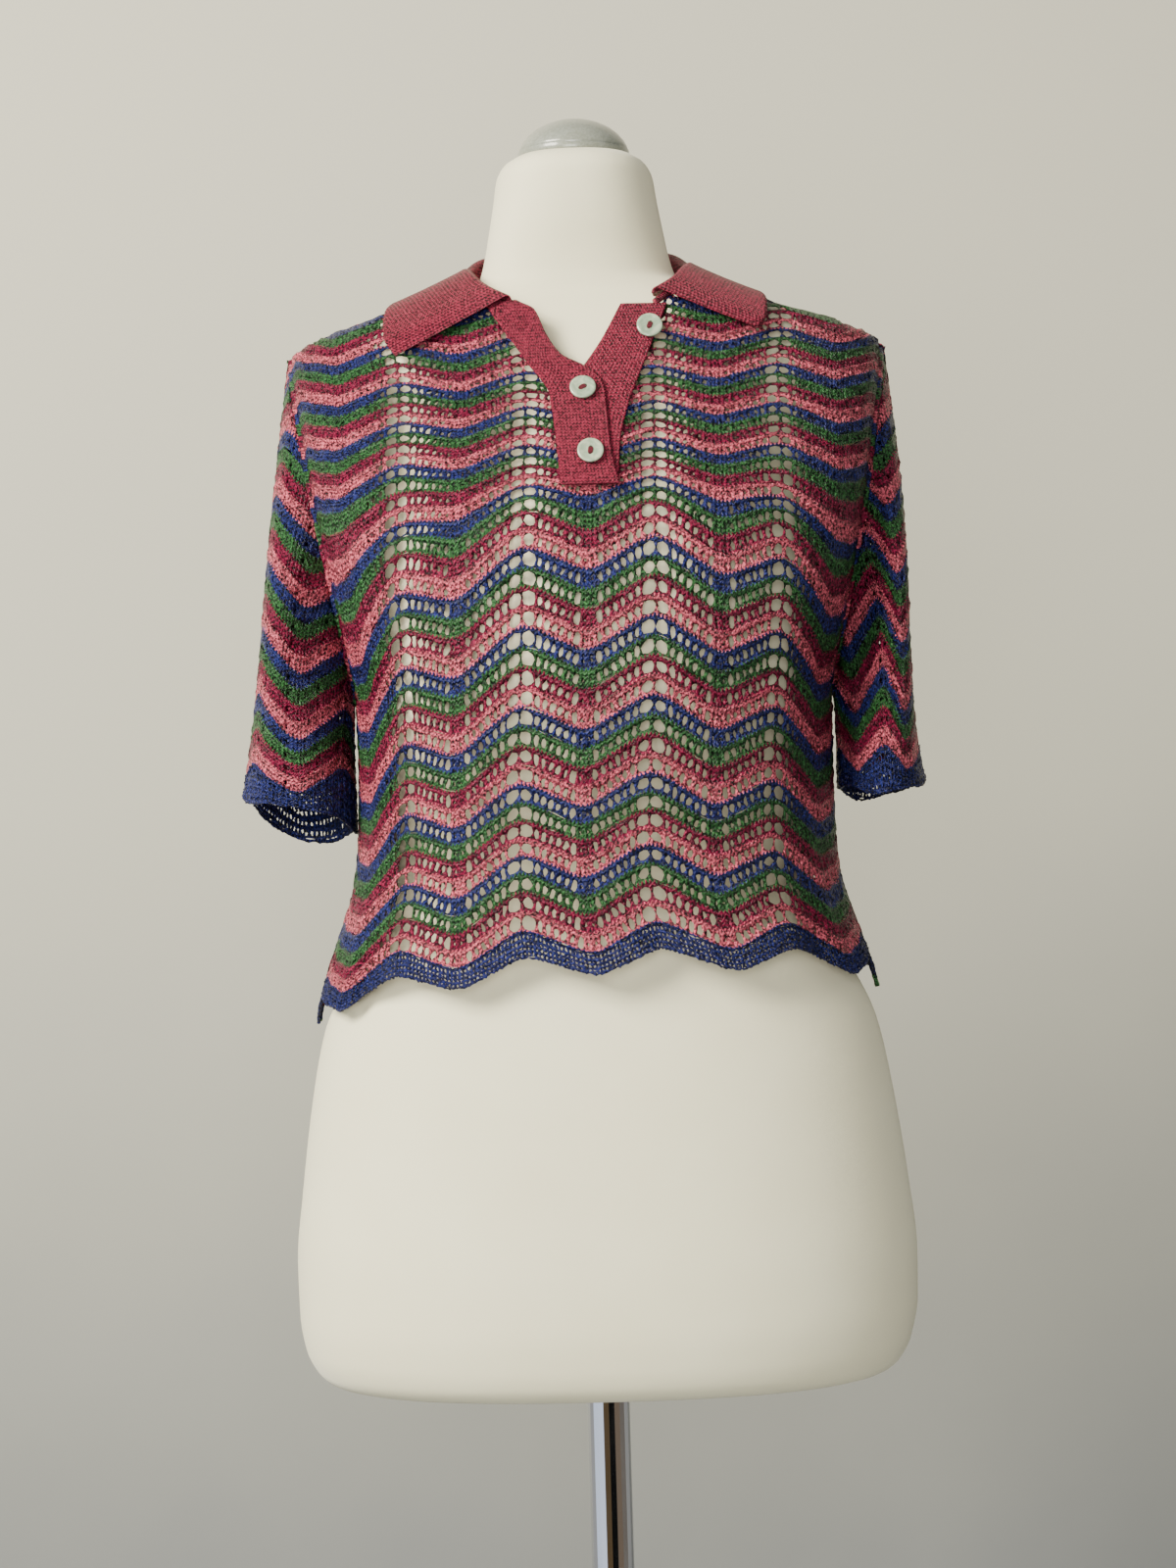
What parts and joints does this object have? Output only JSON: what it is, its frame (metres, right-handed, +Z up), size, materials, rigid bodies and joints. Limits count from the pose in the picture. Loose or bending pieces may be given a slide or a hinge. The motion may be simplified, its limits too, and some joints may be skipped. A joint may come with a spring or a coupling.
{
  "type": "knit polo shirt on a limbless dress form",
  "caption": "Short-sleeved open-knit polo shirt in waved stripes with a turned-down collar and buttoned neck bands, worn on a jersey-covered limbless dress form on a pole stand.",
  "frame": {"origin": "on the floor, under the stand's round base, near its centre", "axes": "+Z up, the shirt's front faces -Y, +X is the viewer's right when looking at the front"},
  "size_m": [0.4265, 0.38, 1.5689],
  "materials": {
    "knit": "shiny viscose lace knit in waved stripes of blue, green, magenta and pink",
    "rose": "dense dusty rose knit",
    "shell": "polished pale shell",
    "jersey": "cream jersey cover",
    "cap": "satin grey",
    "chrome": "polished"
  },
  "bodies": {
    "root": {"front_panel": "knit", "back_panel": "knit", "left_sleeve": "knit", "right_sleeve": "knit", "collar": "rose", "top_band": "rose", "under_band": "rose", "button_top": "shell", "button_middle": "shell", "button_bottom": "shell", "form_torso": "jersey", "neck_cap": "cap", "pole": "chrome", "stand_base": "chrome"}
  },
  "joints": []
}
